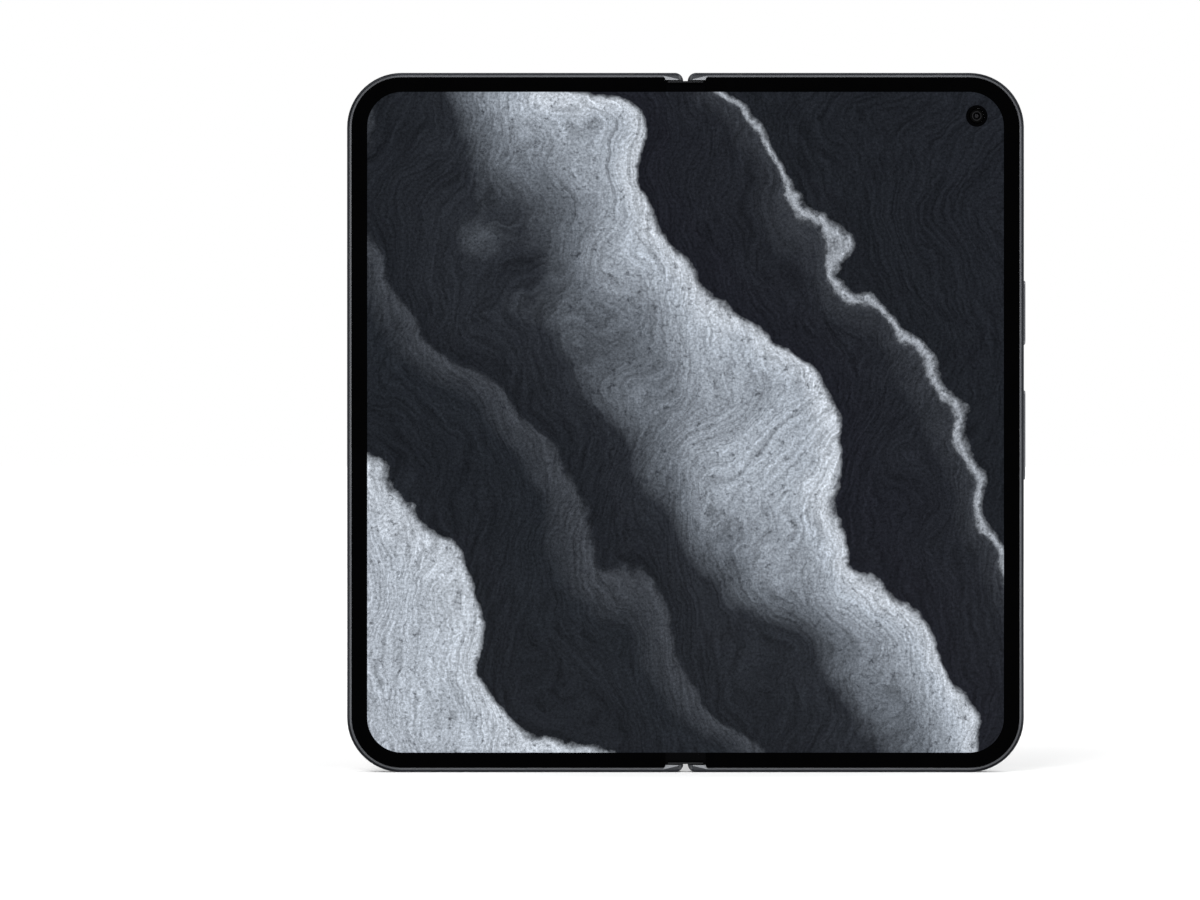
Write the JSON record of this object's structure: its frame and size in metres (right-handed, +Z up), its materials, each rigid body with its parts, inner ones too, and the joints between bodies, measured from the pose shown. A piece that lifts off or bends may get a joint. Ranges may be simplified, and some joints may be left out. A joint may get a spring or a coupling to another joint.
{
  "type": "foldable smartphone",
  "caption": "Book-style folding phone, shown open and upright, with a geared spine hinge, a flexible inner display, side keys, a card tray and a rear camera group.",
  "frame": {"origin": "bottom centre of the bounding box of the open, upright phone", "axes": "+X across the open phone towards the half with the keys, +Z up, inner display faces -Y, cameras face +Y"},
  "size_m": [0.1506, 0.008, 0.1552],
  "materials": {
    "frame_metal": "satin anodised",
    "polished_metal": "polished anodised",
    "spine_metal": "satin anodised",
    "bezel_rubber": "matte",
    "display_film": "glossy, dark",
    "back_glass_dark": "matte etched glass, opaque",
    "cover_glass_dark": "glossy glass, opaque",
    "lens_glass": "clear, coated",
    "panel_dark": "glossy",
    "insert_plastic": "matte",
    "steel": "machined",
    "spring_steel": "satin",
    "black_plastic": "matte",
    "board_laminate": "solder mask",
    "cell_pouch": "foil pouch",
    "copper": "wound copper",
    "ferrite": "matte",
    "gold_flex": "polyimide",
    "tray_metal": "satin anodised",
    "card_plastic": "matte",
    "usb_steel": "satin",
    "flash_amber": "clear over amber",
    "magnet_nickel": "nickel"
  },
  "bodies": {
    "hinge_spine": {"spine_cover": "spine_metal", "spine_end_caps": "black_plastic", "hinge_bases": "steel", "hinge_middle_base": "steel", "hinge_centre_plate": "spring_steel", "friction_clips": "spring_steel", "display_fold_strip": "display_film", "fold_lattice_plate": "spring_steel", "hinge_flexes": "gold_flex"},
    "left_half": {"left_frame": "frame_metal", "left_bezel": "bezel_rubber", "display_left_panel": "display_film", "left_support_plate": "spring_steel", "left_antenna_inserts": "insert_plastic", "cover_glass": "cover_glass_dark", "cover_display_panel": "panel_dark", "cover_camera": "black_plastic", "left_battery": "cell_pouch", "left_board": "board_laminate", "left_board_shields": "steel", "earpiece_speaker": "black_plastic", "haptic_motor": "steel", "left_magnets": "magnet_nickel", "left_screws": "steel", "left_hinge_arms": "steel", "sim_reader": "steel"},
    "right_half": {"right_frame": "frame_metal", "right_bezel": "bezel_rubber", "display_right_panel": "display_film", "right_support_plate": "spring_steel", "right_antenna_inserts": "insert_plastic", "back_glass": "back_glass_dark", "camera_island": "frame_metal", "lens_rings": "polished_metal", "lens_windows": "lens_glass", "flash_unit": "flash_amber", "inner_camera": "black_plastic", "main_camera": "black_plastic", "ultrawide_camera": "black_plastic", "telephoto_camera": "black_plastic", "main_board": "board_laminate", "main_board_shields": "steel", "heat_spreader": "copper", "right_battery": "cell_pouch", "ferrite_sheet": "ferrite", "charging_coil": "copper", "usb_board": "board_laminate", "usb_shell": "usb_steel", "usb_tongue": "black_plastic", "loudspeaker": "black_plastic", "button_switches": "gold_flex", "right_magnets": "magnet_nickel", "right_screws": "steel", "right_hinge_arms": "steel"},
    "left_idlers": {"left_idler_gears": "steel"},
    "right_idlers": {"right_idler_gears": "steel"},
    "power_key": {"power_button": "frame_metal"},
    "volume_key": {"volume_rocker": "frame_metal"},
    "card_tray": {"sim_tray": "tray_metal", "sim_card": "card_plastic"}
  },
  "joints": [
    {"name": "left_fold", "type": "hinge", "parent": "hinge_spine", "child": "left_half", "pos_m": [-0.0024, -0.00175, 0.0776], "axis": [0, 0, 1], "range_deg": [0, 90], "deforming": ["display_fold_strip", "fold_lattice_plate", "hinge_flexes"]},
    {"name": "right_fold", "type": "hinge", "parent": "hinge_spine", "child": "right_half", "pos_m": [0.0024, -0.00175, 0.0776], "axis": [0, 0, 1], "range_deg": [-90, 0], "deforming": ["display_fold_strip", "fold_lattice_plate", "hinge_flexes"]},
    {"name": "left_idler_turn", "type": "hinge", "parent": "hinge_spine", "child": "left_idlers", "pos_m": [-0.0008, -0.00175, 0.0776], "axis": [0, 0, 1], "range_deg": [-90, 0]},
    {"name": "right_idler_turn", "type": "hinge", "parent": "hinge_spine", "child": "right_idlers", "pos_m": [0.0008, -0.00175, 0.0776], "axis": [0, 0, 1], "range_deg": [0, 90]},
    {"name": "power_press", "type": "slide", "parent": "right_half", "child": "power_key", "axis": [-1, 0, 0], "range_m": [0, 0.00025], "stiffness_N_per_m": 6000, "springref_m": -0.0002},
    {"name": "volume_rock", "type": "hinge", "parent": "right_half", "child": "volume_key", "pos_m": [0.0724, -0.00143, 0.0748], "axis": [0, 1, 0], "range_deg": [-1.2, 1.2], "stiffness_Nm_per_rad": 0.4},
    {"name": "tray_pull", "type": "slide", "parent": "left_half", "child": "card_tray", "axis": [0, 0, -1], "range_m": [0, 0.018]}
  ],
  "couplings": [
    {"joint": "right_fold", "follows": "left_fold", "ratio": -1},
    {"joint": "left_idler_turn", "follows": "left_fold", "ratio": -1},
    {"joint": "right_idler_turn", "follows": "left_fold", "ratio": 1}
  ]
}
